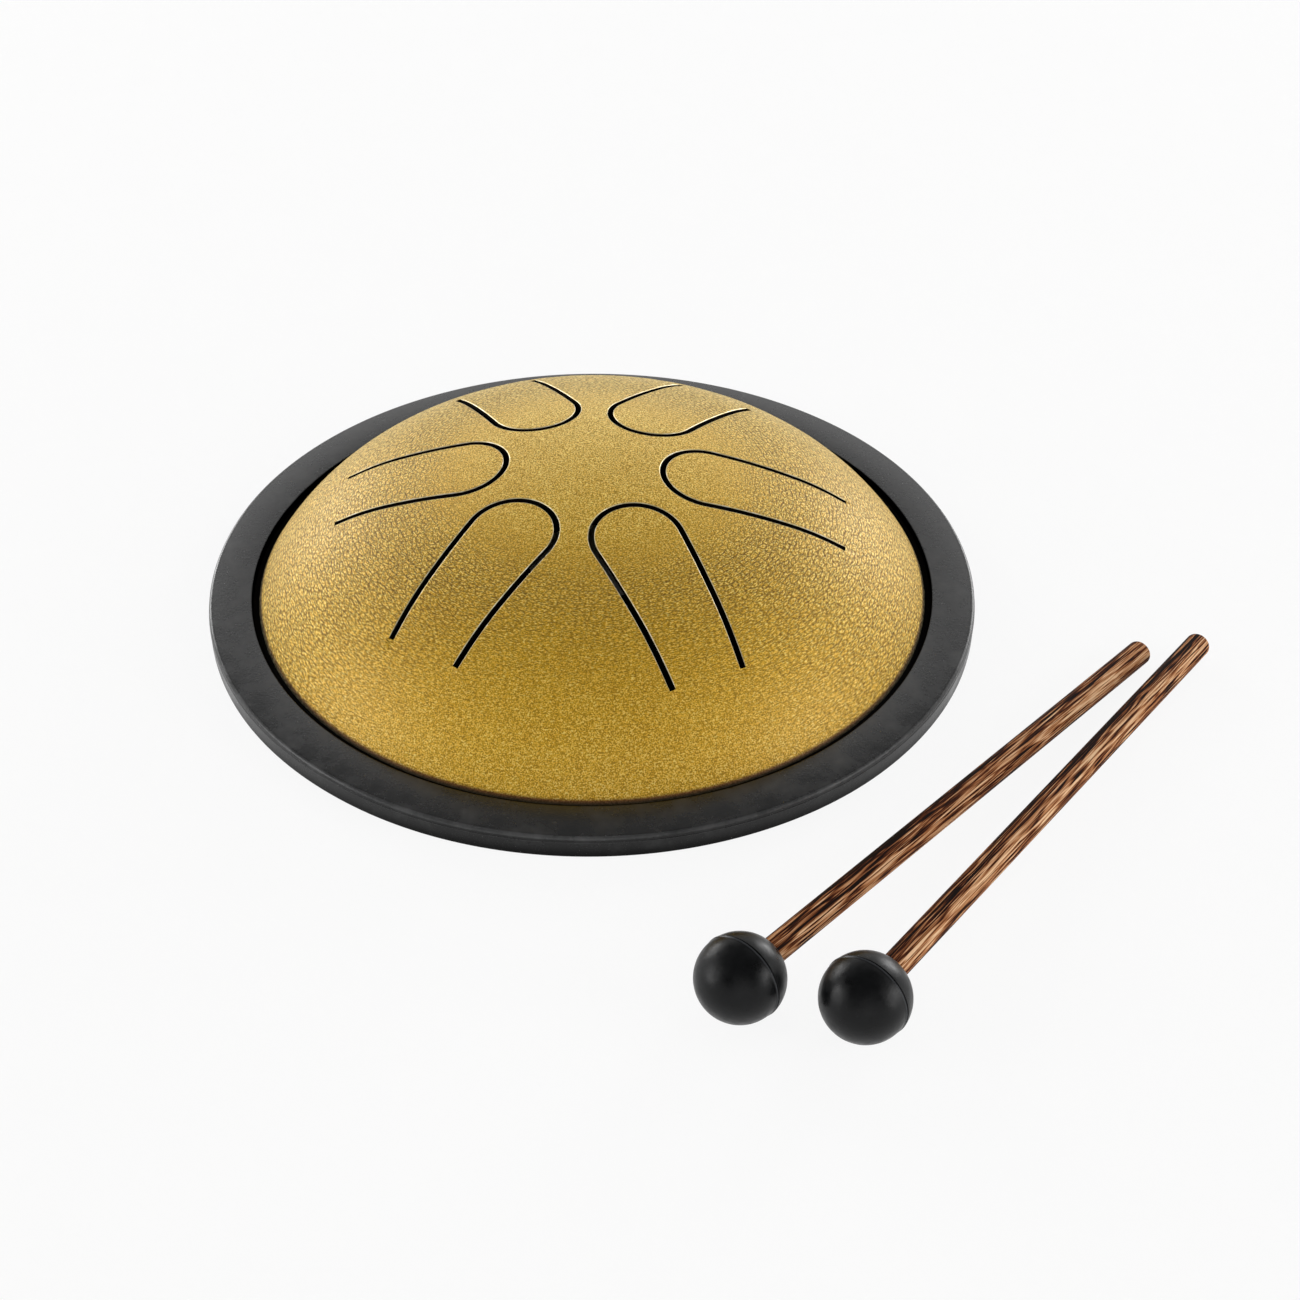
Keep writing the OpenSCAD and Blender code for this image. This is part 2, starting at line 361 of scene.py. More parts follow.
# Painted shade: the gold darkens to brown and near-black where the dome dips into the ring's groove.
foot = node(gold, "MapRange", SMOOTH, Value=axes.outputs["Z"], From_Min=FOOT_SHADE[0],
            From_Max=FOOT_SHADE[1])
inward = node(gold, "MapRange", SMOOTH, Value=from_axis, From_Min=PAN_EDGE[0], From_Max=PAN_EDGE[1],
              To_Min=1.0, To_Max=0.0)
clear_of_foot = node(gold, "Math", {"operation": "MAXIMUM"}, n0=foot.outputs[0], n1=inward.outputs[0])
painted_foot_shade = node(gold, "ValToRGB", n0=clear_of_foot.outputs[0],
                 stops=[(0.0, "#1C0E06"), (0.5, "#8A6234"), (1.0, "#FFFFFF")])
shade = tone.outputs[0]
for layer in (painted_crease_shade, warm, painted_foot_shade):
    shade = node(gold, "Mix", {"data_type": "RGBA", "blend_type": "MULTIPLY"}, n0=1.0, n6=shade,
                 n7=layer.outputs[0]).outputs[2]
link(gold, shade, gold_shader.inputs["Base Color"])
print("grain:", GRAIN_MM, "mm wide")

# %% [markdown]
# ## The gold's haze and relief
# The pale haze sits on the hills of the grain and leaves the creases clear. One noise drives
# the haze and the bumps alike, so a hill is at once lighter, hazier and higher, which is what
# makes it read as one thing.

# %% Give the gold its haze and bumps
HAZE_BAND = (0.38, 0.62)
HAZE_RANGE = (0.15, 0.9)
CREASE_HAZE = 0.2
COAT_SHARE = 0.52
GRAIN_RELIEF = 0.0003
CREASE_RELIEF = 0.00012

haze = node(gold, "MapRange", Value=grain.outputs[0], From_Min=HAZE_BAND[0],
            From_Max=HAZE_BAND[1], To_Min=HAZE_RANGE[0], To_Max=HAZE_RANGE[1])
open_haze = node(gold, "MapRange", Value=creased.outputs[0], To_Min=CREASE_HAZE)
pale = node(gold, "Math", TIMES, n0=haze.outputs[0], n1=open_haze.outputs[0])
coat = node(gold, "Math", TIMES, n0=pale.outputs[0], n1=COAT_SHARE)
link(gold, coat.outputs[0], gold_shader.inputs["Coat Weight"])
link(gold, pale.outputs[0], gold_shader.inputs["Sheen Weight"])
grain_relief = node(gold, "Bump", Height=grain.outputs[0], Strength=0.5, Distance=GRAIN_RELIEF)
crease_relief = node(gold, "Bump", Height=creased.outputs[0], Strength=0.5, Distance=CREASE_RELIEF,
                     Normal=grain_relief.outputs[0])
link(gold, crease_relief.outputs[0], gold_shader.inputs["Normal"])
print("nodes in the gold:", len(gold.node_tree.nodes))

# %% [markdown]
# ## Cut edges, the dark inside and the weld
# The slots are cut through the steel, and their rims are rubbed bright, so they catch the light
# as hair lines beside every slot. The walls of the slots, the inside of the drum, and the dome's
# fillet and flange down in the ring's groove are painted near-black: shade, as little light gets
# in there, and on the cut walls also the oxide of the cut. So the slots read as black lines. The
# weld that joins the two shells is a bead of bare steel with fine ripples.

# %% Finish the steel
RUB_MM = 1.4
DARK_MOTTLE_MM = 9.0
RIPPLE_MM = 1.2


def mottled(name, size_mm, detail, stops, **values):
    """A finish whose colour is a noise this wide read through a ramp: ramp(noise(place / size))."""
    finish, shader = new_finish(name, **values)
    noise = node(finish, "TexNoise", Vector=node(finish, "TexCoord").outputs["Object"],
                 Scale=per_metre(size_mm), Detail=detail)
    tone = node(finish, "ValToRGB", n0=noise.outputs["Fac"], stops=stops)
    link(finish, tone.outputs[0], shader.inputs["Base Color"])
    return finish


rim = mottled("rubbed_steel_rim", RUB_MM, 3.0, [(0.3, "#D2BA80"), (0.5, "#E6D8AE"), (0.7, "#F6EEDA")],
              Metallic=1.0, Roughness=0.45)
# Painted shade: the inside finish is near-black, with a little oxide colour.
inside = mottled("oxide_and_painted_shade_steel", DARK_MOTTLE_MM, 5.0, [(0.3, "#040202"), (0.7, "#0C0705")],
                 Roughness=0.85, Specular_IOR_Level=0.05)
weld_steel = mottled("weld_bead_steel", RIPPLE_MM, 3.0, [(0.3, "#6F7073"), (0.7, "#A2A3A6")],
                     Metallic=1.0, Roughness=0.5)
print("steel finishes:", [finish.name for finish in (rim, inside, weld_steel)])

# %% [markdown]
# ## The ring's rubber
# The ring is extruded black rubber with a dry, faintly dusty face. A painted grey highlight,
# broken up by the dust, runs along its upper outer edge. Its upper face is the glossier one, and
# its outer wall is dull and darkened towards the table with painted shade. Its inner wall stands
# in a gap too narrow for light, so it is plain black. All of these follow the distance from the
# axis and the height, so Object coordinates are enough.

# %% Finish the ring's rubber
DUST_MM = 7.0
PORE_MM = 0.6
RING_EDGE = (0.09475, 0.0951)
RING_SIDE = (0.0888, 0.0897)
RING_GAP = (0.08005, 0.08035)
RING_FOOT = (0.0004, 0.0042)
FOOT_LIGHT = 0.25
TOP_SHINE = 0.8
SIDE_SHINE = 0.2
PORE_RELIEF = 0.0001

ring_rubber, ring_shader = new_finish("extruded_black_rubber", IOR=1.55)
place, axes, from_axis = turned_places(ring_rubber)
dust = node(ring_rubber, "TexNoise", Vector=place, Scale=per_metre(DUST_MM), Detail=7.0,
            Roughness=0.65)
dust_tone = node(ring_rubber, "ValToRGB", n0=dust.outputs["Fac"],
                 stops=[(0.35, "#121212"), (0.52, "#1C1C1C"), (0.68, "#343434")])
outward_up = node(ring_rubber, "Math", {"operation": "ADD"}, n0=from_axis, n1=axes.outputs["Z"])
# Painted highlight: the outer upper edge is lightened to grey, broken up by the dust.
edge = node(ring_rubber, "MapRange", SMOOTH, Value=outward_up.outputs[0], From_Min=RING_EDGE[0],
            From_Max=RING_EDGE[1])
painted_edge_highlight = node(ring_rubber, "Math", TIMES, n0=edge.outputs[0], n1=dust.outputs["Fac"])
skin = node(ring_rubber, "Mix", COLOURS, n0=painted_edge_highlight.outputs[0], n6=dust_tone.outputs[0],
            n7=colour("#686868"))
side = node(ring_rubber, "MapRange", SMOOTH, Value=from_axis, From_Min=RING_SIDE[0],
            From_Max=RING_SIDE[1])
in_gap = node(ring_rubber, "MapRange", Value=from_axis, From_Min=RING_GAP[0], From_Max=RING_GAP[1])
# Painted shade: the outer wall darkens towards the table, and the wall in the gap is painted black.
painted_table_shade = node(ring_rubber, "MapRange", SMOOTH, Value=axes.outputs["Z"], From_Min=RING_FOOT[0],
                 From_Max=RING_FOOT[1], To_Min=FOOT_LIGHT)
lit = node(ring_rubber, "Math", TIMES, n0=in_gap.outputs[0], n1=painted_table_shade.outputs[0])
lit_skin = node(ring_rubber, "Mix", COLOURS, n0=lit.outputs[0], n6=colour("#000000"),
                n7=skin.outputs[2])
link(ring_rubber, lit_skin.outputs[2], ring_shader.inputs["Base Color"])
shine = node(ring_rubber, "MapRange", Value=side.outputs[0], To_Min=TOP_SHINE, To_Max=SIDE_SHINE)
top_shine = node(ring_rubber, "Math", TIMES, n0=shine.outputs[0], n1=lit.outputs[0])
link(ring_rubber, top_shine.outputs[0], ring_shader.inputs["Specular IOR Level"])
dull = node(ring_rubber, "MapRange", Value=dust.outputs["Fac"], From_Min=0.3, From_Max=0.7,
            To_Min=0.2, To_Max=0.36)
link(ring_rubber, dull.outputs[0], ring_shader.inputs["Roughness"])
pores = node(ring_rubber, "TexNoise", Vector=place, Scale=per_metre(PORE_MM), Detail=3.0)
pore_relief = node(ring_rubber, "Bump", Height=pores.outputs["Fac"], Strength=0.25,
                   Distance=PORE_RELIEF)
link(ring_rubber, pore_relief.outputs[0], ring_shader.inputs["Normal"])
print("finish:", ring_rubber.name)

# %% [markdown]
# ## The balls' rubber
# The mallets' heads are moulded rubber, blacker and smoother than the ring, so soft lights show
# in them as grey clouds, broken by a faint bloom. A pale band is painted along the mould line as
# a highlight on its lip. The band has to follow each ball, however its mallet lies, so it
# reads the places that the mesh keeps from before it was turned, in millimetres.

# %% Finish the balls' rubber
BLOOM_MM = 3.5
SKIN_MM = 1.1
LIP_HIGHLIGHT_AT = 0.42
LIP_HIGHLIGHT_FADE = (0.05, 0.3)
LIP_HIGHLIGHT_SHARE = 0.3
SKIN_RELIEF = 0.00012

head_rubber, head_shader = new_finish("moulded_black_rubber", IOR=1.52, Specular_IOR_Level=0.2)
place = node(head_rubber, "TexCoord").outputs["Object"]
bloom = node(head_rubber, "TexNoise", Vector=place, Scale=per_metre(BLOOM_MM), Detail=7.0,
             Roughness=0.7)
bloom_tone = node(head_rubber, "ValToRGB", n0=bloom.outputs["Fac"],
                  stops=[(0.35, "#030405"), (0.65, "#0B0C0E")])
own_place = node(head_rubber, "Attribute", {"attribute_name": "in_mallet"}).outputs["Vector"]
along = node(head_rubber, "SeparateXYZ", Vector=own_place)
# Painted highlight: a pale band along the mould line's lip.
from_line = node(head_rubber, "Math", {"operation": "SUBTRACT"}, n0=along.outputs["Z"], n1=LIP_HIGHLIGHT_AT)
line_gap = node(head_rubber, "Math", {"operation": "ABSOLUTE"}, n0=from_line.outputs[0])
painted_lip_highlight = node(head_rubber, "MapRange", SMOOTH, Value=line_gap.outputs[0], From_Min=LIP_HIGHLIGHT_FADE[0],
             From_Max=LIP_HIGHLIGHT_FADE[1], To_Min=LIP_HIGHLIGHT_SHARE, To_Max=0.0)
lip_highlighted_tone = node(head_rubber, "Mix", COLOURS, n0=painted_lip_highlight.outputs[0], n6=bloom_tone.outputs[0],
               n7=colour("#6A6C70"))
link(head_rubber, lip_highlighted_tone.outputs[2], head_shader.inputs["Base Color"])
satin = node(head_rubber, "MapRange", Value=bloom.outputs["Fac"], From_Min=0.3, From_Max=0.7,
             To_Min=0.22, To_Max=0.5)
link(head_rubber, satin.outputs[0], head_shader.inputs["Roughness"])
skin = node(head_rubber, "TexNoise", Vector=place, Scale=per_metre(SKIN_MM), Detail=4.0,
            Roughness=0.7)
skin_relief = node(head_rubber, "Bump", Height=skin.outputs["Fac"], Strength=0.3,
                   Distance=SKIN_RELIEF)
link(head_rubber, skin_relief.outputs[0], head_shader.inputs["Normal"])
print("finish:", head_rubber.name)

# %% [markdown]
# ## Streaked hardwood
# The handles are turned from a striped hardwood: tan wood with long reddish and near-black
# streaks that run along the grain, under a thin oil that hardly shines. The pattern must follow
# each handle, whichever way it points, so it too reads the places from before the turn. The
# growth layers are a noise that is drawn out 25 times along the handle, and hair lines come
# A painted highlight runs along one side of each handle, and painted shade darkens the wood away from
# it.

# %% Finish the handles' wood
LAYER_MM = 2.6
HAIR_MM = 0.42
HAIR_SHARE = 0.62
LAYER_STRETCH = 0.04
LIT_SIDE_FACING = (0.61, -0.79, 0.0)
LIT_SIDE_AT = 0.4
PAINTED_SHADE_PER_MM = -0.045
WOOD_RELIEF = 0.0002

wood, wood_shader = new_finish("oiled_striped_hardwood", Roughness=0.6, Specular_IOR_Level=0.06)
own_place = node(wood, "Attribute", {"attribute_name": "in_mallet"}).outputs["Vector"]
slender = node(wood, "Mapping", Vector=own_place, Scale=(1.0, 1.0, LAYER_STRETCH))
layers = node(wood, "TexNoise", Vector=slender.outputs[0], Scale=1 / LAYER_MM, Detail=3.0,
              Roughness=0.55, Distortion=0.9)
hair = node(wood, "TexNoise", Vector=slender.outputs[0], Scale=1 / HAIR_MM, Detail=1.0,
            Distortion=0.8)
streaks = node(wood, "Mix", BETWEEN, n0=HAIR_SHARE, n2=layers.outputs["Fac"], n3=hair.outputs["Fac"])
# Painted light and shade: the wood is lightest along one side and darkens away from it.
across = node(wood, "VectorMath", {"operation": "DOT_PRODUCT"}, n0=own_place, n1=LIT_SIDE_FACING)
from_lit_side = node(wood, "Math", {"operation": "SUBTRACT"}, n0=across.outputs["Value"], n1=LIT_SIDE_AT)
beside = node(wood, "Math", {"operation": "ABSOLUTE"}, n0=from_lit_side.outputs[0])
streaks_and_painted_shade = node(wood, "Math", {"operation": "MULTIPLY_ADD"}, n0=beside.outputs[0],
              n1=PAINTED_SHADE_PER_MM, n2=streaks.outputs[0])
wood_tone = node(wood, "ValToRGB", n0=streaks_and_painted_shade.outputs[0],
                 stops=[(0.35, "#120400"), (0.40, "#481E08"), (0.445, "#8E5430"),
                        (0.49, "#C4885A"), (0.57, "#F6CCA0")])
link(wood, wood_tone.outputs[0], wood_shader.inputs["Base Color"])
wood_relief = node(wood, "Bump", Height=streaks.outputs[0], Strength=0.3, Distance=WOOD_RELIEF)
link(wood, wood_relief.outputs[0], wood_shader.inputs["Normal"])
print("finish:", wood.name)

# %% [markdown]
# ## The dome's section
# The dome is pressed from 1 mm sheet. Its section is two arcs that flow into each other: a
# flat crown and a rounder shoulder. The height of the outer face is a function of the
# distance from the axis, and so is that of the inner face, which is 1 mm inside it. A spline
# could give the same line, but two arcs are what a press tool is made from. All lengths from
# here on are in millimetres.

# %% Work out the dome's height
CROWN_HEIGHT = 38.5
CROWN_RADIUS = 138.0
SHOULDER_START = 47.5
SHOULDER_RADIUS = 59.6
WALL = 1.0
BEYOND_CROWN = 100.0

BLEND = asin(SHOULDER_START / CROWN_RADIUS)
CROWN_CENTRE_Z = CROWN_HEIGHT - CROWN_RADIUS
SHOULDER_CENTRE_R = (CROWN_RADIUS - SHOULDER_RADIUS) * sin(BLEND)
SHOULDER_CENTRE_Z = CROWN_CENTRE_Z + (CROWN_RADIUS - SHOULDER_RADIUS) * cos(BLEND)


def face_height(r, move):
    """Height of the dome's face moved out by move: centre z + sqrt((radius + move)^2 - across^2).

    across is the distance from the arc's own centre line. The crown's arc is used up to where
    the shoulder's begins, and is never asked for beyond BEYOND_CROWN.
    """
    crown = CROWN_CENTRE_Z + np.sqrt((CROWN_RADIUS + move) ** 2 - np.minimum(r, BEYOND_CROWN) ** 2)
    across = np.clip(r - SHOULDER_CENTRE_R, 0.0, SHOULDER_RADIUS + move)
    shoulder = SHOULDER_CENTRE_Z + np.sqrt((SHOULDER_RADIUS + move) ** 2 - across ** 2)
    return np.where(r <= (CROWN_RADIUS + move) * sin(BLEND), crown, shoulder)


def on_dome(x, y, share):
    """Points (x, y, outer height - share * wall); share 0 is the outer face, share 1 the inner."""
    r = np.hypot(x, y)
    outer, inner = face_height(r, 0.0), face_height(r, -WALL)
    return np.stack([x, y, outer - share * (outer - inner)], axis=-1)


print("height 60 mm from the axis:", round(float(face_height(np.array(60.0), 0.0)), 2), "mm")

# %% [markdown]
# ## The tongues' outlines
# Seen from above, a slot runs up one side of a tongue, round its tip and down the other side.
# Half of its middle line is a quarter turn and a bit of a circle, then a straight line to the
# tongue's root. Moved out by half the slot's width it is the shell's edge, and moved in by as
# much it is the tongue's. A tongue's two numbers are how far its root is from the pattern's
# middle and how wide it is there, and the lengths differ because they set the notes. The
# pattern is turned a little and sits 1.7 mm off the dome's axis, as on the real drum.

# %% Draw half a slot
TONGUES = {
    "tongue_right": (60.4, 18.3), "tongue_back_right": (55.3, 19.9),
    "tongue_back_left": (53.0, 20.0), "tongue_left": (57.0, 18.5),
    "tongue_front_left": (60.4, 17.6), "tongue_front_right": (63.4, 16.8),
}
PATTERN_TURN = radians(-4.2)
PATTERN_X = -1.7
TIP_CENTRE = 28.3
TIP_RADIUS = 10.3
TIP_STEPS = 26
SIDE_STEPS = 26


def slot_line(reach, root):
    """Half a slot's middle line from the tip's front to the root: points and outward directions.

    The round part is (tip centre + radius cos a, radius sin a), a from 180 degrees to where the
    straight side touches it, facing (cos a, sin a). The side runs straight to (reach, root / 2).
    """
    end_x, end_y = reach - TIP_CENTRE, root / 2
    touch = np.arctan2(end_y, end_x) + np.arccos(TIP_RADIUS / np.hypot(end_x, end_y))
    angle = np.pi + (touch - np.pi) * np.linspace(0, 1, TIP_STEPS + 1)
    angle = np.concatenate([angle, np.full(SIDE_STEPS, touch)])
    run = np.concatenate([np.zeros(TIP_STEPS + 1), np.linspace(0, 1, SIDE_STEPS + 1)[1:]])
    x = TIP_CENTRE + TIP_RADIUS * np.cos(angle)
    y = TIP_RADIUS * np.sin(angle)
    facing_x, facing_y = np.cos(angle), np.sin(angle)
    facing_x[-1], facing_y[-1] = 0.0, 1.0
    return x + (reach - x) * run, y + (end_y - y) * run, facing_x, facing_y


def turned(number, x, y):
    """A tongue's own plan places in the drum's frame: (x cos a - y sin a + dx, x sin a + y cos a)."""
    angle = PATTERN_TURN + number * np.pi / 3
    return PATTERN_X + x * np.cos(angle) - y * np.sin(angle), x * np.sin(angle) + y * np.cos(angle)


print("tongues from the pattern's middle:", [reach for reach, _ in TONGUES.values()], "mm")

# %% [markdown]
# ## The slots' rims
# A cut edge is never quite sharp: the rims are rounded by 0.15 mm, and it is this that catches
# the light. A Bevel modifier could round them, but the rows are worked out here, so that shell
# and tongue still meet without a notch at the root. A narrow row of faces beside each rounding
# keeps the shading of the flat faces flat. Straight rows then fill the sheet from the rim to a
# line farther off.

# %% Climb a slot's wall and fill the sheet
HALF_SLOT = 0.69
EDGE_ROUND = 0.15
EDGE_RUN = 1.5
SUPPORT = 0.15
RIM_STEPS = 3


def edge_strip(side, reach, root):
    """Plan places and wall shares of the rows that climb a slot's wall and round its rim.

    side is 1 for the shell's edge and -1 for the tongue's. A row's distance from the slot's wall
    is rounding * (1 - cos t) and its depth is rounding * (1 - sin t), t from 0 to 90 degrees.
    The rounding fades out at the root, so shell and tongue meet there without a notch.
    """
    x, y, facing_x, facing_y = slot_line(reach, root)
    fade = np.clip((reach - x) / EDGE_RUN, 0, 1)
    turn = np.linspace(0, np.pi / 2, RIM_STEPS + 1)[:, None]
    flat = np.ones_like(fade)[None]
    out = np.concatenate([(EDGE_ROUND + SUPPORT) * flat, 0 * flat,
                          EDGE_ROUND * (1 - np.cos(turn)) * fade, EDGE_ROUND * fade + SUPPORT * flat])
    share = np.concatenate([flat, flat, EDGE_ROUND / WALL * (1 - np.sin(turn)) * fade, 0 * flat])
    move = side * (HALF_SLOT + out)
    return x + facing_x * move, y + facing_y * move, share


def ruled(x, y, share, far_x, far_y, steps):
    """Adds rows from both ends of a strip to a far line: start + (far - start) * k / steps."""
    reach = (np.arange(1, steps + 1) / steps)[:, None]
    outer_x, outer_y = x[-1] + (far_x - x[-1]) * reach, y[-1] + (far_y - y[-1]) * reach
    inner_x, inner_y = x[0] + (far_x - x[0]) * reach, y[0] + (far_y - y[0]) * reach
    flat = np.ones_like(outer_x)
    return (np.concatenate([inner_x[::-1], x, outer_x]), np.concatenate([inner_y[::-1], y, outer_y]),
            np.concatenate([flat, share, 0 * flat]))


def strip_kinds(steps):
    """Finishes of the rows of a ruled strip: inside and wall painted dark as shade, rim rubbed, face
    painted.
    """
    return np.array([2] * (steps + 2) + [1] * RIM_STEPS + [0] * (steps + 1))


print("slot width:", 2 * HALF_SLOT, "mm")

# %% [markdown]
# ## A tongue
# Each tongue is a strip of the dome that stays joined to it at the root and bends there when
# it is struck. Its face is ruled with straight lines, seen from above, from its edge to its
# spine, which keeps the points evenly spread and closes at the middle of the round tip. The
# root's end is a flat cut that meets the shell.

# %% Build the tongues
TONGUE_ROWS = 6


def tongue_grids(number, reach, root):
    """Both halves of a tongue, ruled from its edge strip to its spine, and its root's flat cut."""
    x, y, share = edge_strip(-1, reach, root)
    run = np.clip((np.arange(x.shape[1]) - TIP_STEPS) / SIDE_STEPS, 0, 1)
    spine_x = TIP_CENTRE + (reach - TIP_CENTRE) * run
    x, y, share = ruled(x, y, share, spine_x, 0 * spine_x, TONGUE_ROWS)
    grids = []
    for half in (1, -1):
        spots = on_dome(*turned(number, x, half * y), share)
        inner, outer = spots[TONGUE_ROWS + 1::-1, -1], spots[TONGUE_ROWS + 1 + RIM_STEPS + 1:, -1]
        grids += [(spots, strip_kinds(TONGUE_ROWS)), (np.stack([inner, outer]), 2)]
    return grids


for number, (name, (reach, root)) in enumerate(TONGUES.items()):
    mesh = closed_mesh(name + "_sheet", tongue_grids(number, reach, root))
    piece = add_piece(name + "_sheet", mesh, (gold, rim, inside), [name])
    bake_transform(piece)

# %% [markdown]
# ## The foot of the dome
# Below the tongues the dome is a plain turned shape, so only its section is needed: down the
# shoulder, through the small fillet, out along the flange, round its edge and back up the
# inner face. The angles at which the arcs meet follow from the circles' radii.

# %% Draw the foot's section
SEAM_Z = 2.8
FLANGE_TOP = SEAM_Z + WALL
FLANGE_START = 80.5
FLANGE_RADIUS = 86.5
FOOT_FILLET = 0.8
FACE_STEPS = 10
FILLET_STEPS = 4
TURN_START = 72.0


def arc(centre_r, centre_z, radius, first, last, steps):
    """Section points centre + radius (sin a, cos a), a from first to last, measured from upright."""
    angle = np.linspace(first, last, steps + 1)
    return np.stack([centre_r + radius * np.sin(angle), centre_z + radius * np.cos(angle)], 1)


def foot_section():
    """Section from the shoulder at TURN_START, down to the flange, round it and back inside.

    An arc's angle is asin(distance from its centre line / radius). The fillet's circle touches
    the shoulder's, so their centres are the sum of both radii apart.
    """
    fillet_z = FLANGE_TOP + FOOT_FILLET
    reach = SHOULDER_RADIUS + FOOT_FILLET
    lean = asin(sqrt(reach ** 2 - (fillet_z - SHOULDER_CENTRE_Z) ** 2) / reach)
    fillet_r = SHOULDER_CENTRE_R + reach * sin(lean)
    begin = asin((TURN_START - SHOULDER_CENTRE_R) / SHOULDER_RADIUS)
    inner = SHOULDER_RADIUS - WALL
    inner_begin = asin((TURN_START - SHOULDER_CENTRE_R) / inner)
    inner_end = asin(sqrt(inner ** 2 - (SEAM_Z - SHOULDER_CENTRE_Z) ** 2) / inner)
    outer_face = arc(SHOULDER_CENTRE_R, SHOULDER_CENTRE_Z, SHOULDER_RADIUS, begin, lean, FACE_STEPS)
    fillet = arc(fillet_r, fillet_z, FOOT_FILLET, lean - np.pi, -np.pi, FILLET_STEPS)
    flange = np.array([[FLANGE_START, FLANGE_TOP], [FLANGE_RADIUS, FLANGE_TOP],
                       [FLANGE_RADIUS, SEAM_Z]])
    inner_face = arc(SHOULDER_CENTRE_R, SHOULDER_CENTRE_Z, inner, inner_end, inner_begin, FACE_STEPS)
    return np.concatenate([outer_face, fillet[1:], flange, inner_face]), len(outer_face) - 1


section, painted = foot_section()
print("dome's foot meets its fillet at:", round(float(section[painted, 0]), 2), "mm from the axis")

# %% [markdown]
# ## The shell round the tongues
# The rest of the dome is six equal sectors. In each, one strip is ruled from the slot's edge
# to the sector's two sides, and a second one fans from the tongue's root out to a circle near
# the dome's foot. From there the foot's section simply turns round the axis. The six sectors
# share their side points, so they weld into one closed sheet.

# %% Build the shell
SHELL_ROWS = 10
SIDE_ANGLE = np.pi / 6
SIDE_REACH = 66.0
LAST_TOUCH = radians(100)
ROOT_COLUMNS = 10
FAN_ROWS = 4


def circle_cut(direction_x, direction_y, radius):
    """Where a ray from the pattern's centre meets the circle of that radius about the axis.

    The ray's length k solves |centre + k direction| = radius.
    """
    along = PATTERN_X * direction_x
    k = -along + np.sqrt(along ** 2 + radius ** 2 - PATTERN_X ** 2)
    return PATTERN_X + k * direction_x, k * direction_y


def side_distances():
    """Distances along a sector's side: met by lines square to the tip, then evenly to the root."""
    angle = np.linspace(np.pi, LAST_TOUCH, TIP_STEPS + 1)
    slope = np.tan(SIDE_ANGLE)
    k = TIP_CENTRE * slope / (np.sin(angle) - np.cos(angle) * slope)
    tip = (TIP_CENTRE + k * np.cos(angle)) / np.cos(SIDE_ANGLE)
    run = np.linspace(0, 1, SIDE_STEPS + 1)[1:]
    return np.concatenate([tip, tip[-1] + (SIDE_REACH - tip[-1]) * run])


def shell_grids(number, reach, root, section, painted):
    """One sector of the shell: both strips beside the slot, the fan beyond the root and the foot."""
    x, y, share = edge_strip(1, reach, root)
    side = side_distances()
    x, y, share = ruled(x, y, share, side * np.cos(SIDE_ANGLE), side * np.sin(SIDE_ANGLE), SHELL_ROWS)
    grids = [(on_dome(*turned(number, x, half * y), share), strip_kinds(SHELL_ROWS))
             for half in (1, -1)]
    corner = root / 2 + HALF_SLOT
    middle = np.linspace(-corner, corner, ROOT_COLUMNS + 1)[1:-1]
    inner, outer = slice(SHELL_ROWS + 1, None, -1), slice(SHELL_ROWS + RIM_STEPS + 2, None)
    rows = []
    for part, depth in ((outer, 0.0), (inner, 1.0)):
        beside_x, beside_y = x[part, -1], y[part, -1]
        low_x = np.concatenate([beside_x[::-1], np.full(middle.shape, reach), beside_x])
        low_y = np.concatenate([-beside_y[::-1], middle, beside_y])
        rows.append((low_x, low_y, depth))
    count = len(beside_x)
    root_part = slice(count - 1, count + ROOT_COLUMNS)
    lows = [on_dome(*turned(number, low_x, low_y), depth) for low_x, low_y, depth in rows]
    grids.append((np.stack([low[root_part] for low in lows]), 2))
    bearing = np.arctan2(rows[0][1], rows[0][0]) + PATTERN_TURN + number * np.pi / 3
    rim_x, rim_y = circle_cut(np.cos(bearing), np.sin(bearing), TURN_START)
    spin = np.arctan2(rim_y, rim_x)
    turned_foot = np.stack([section[:, :1] * np.cos(spin), section[:, :1] * np.sin(spin),
                            section[:, 1:] + 0 * spin], -1)
    # The fillet, the flange and the inner face get the inside finish, painted near-black as shade.
    grids.append((turned_foot, np.where(np.arange(len(section) - 1) < painted, 0, 2)))
    share_out = (np.arange(FAN_ROWS + 1) / FAN_ROWS)[:, None]
    for low, depth, kind in ((lows[0], 0.0, 0), (lows[1], 1.0, 2)):
        fan_x = low[:, 0] + (rim_x - low[:, 0]) * share_out
        fan_y = low[:, 1] + (rim_y - low[:, 1]) * share_out
        grids.append((on_dome(fan_x, fan_y, depth), kind))
    return grids


grids = []
for number, (reach, root) in enumerate(TONGUES.values()):
    grids += shell_grids(number, reach, root, section, painted)
top_shell = add_piece("top_shell_sheet", closed_mesh("top_shell_sheet", grids),
                      (gold, rim, inside), ["top_shell"])
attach(top_shell, "drum")

# %% [markdown]
# ## Turned pieces
# The bottom pan, the ring, the mallets' heads and their handles are all surfaces of
# revolution: a section, given as (distance from the axis, height) points, turned in a full
# circle. Blender's Screw modifier could turn it, but a grid lets the ring waver as it goes
# round. A section that closes on itself, or that starts and ends on the axis, gives a closed
# surface.

# %% Turn a section and round its corners
ROUND_STEPS = 256


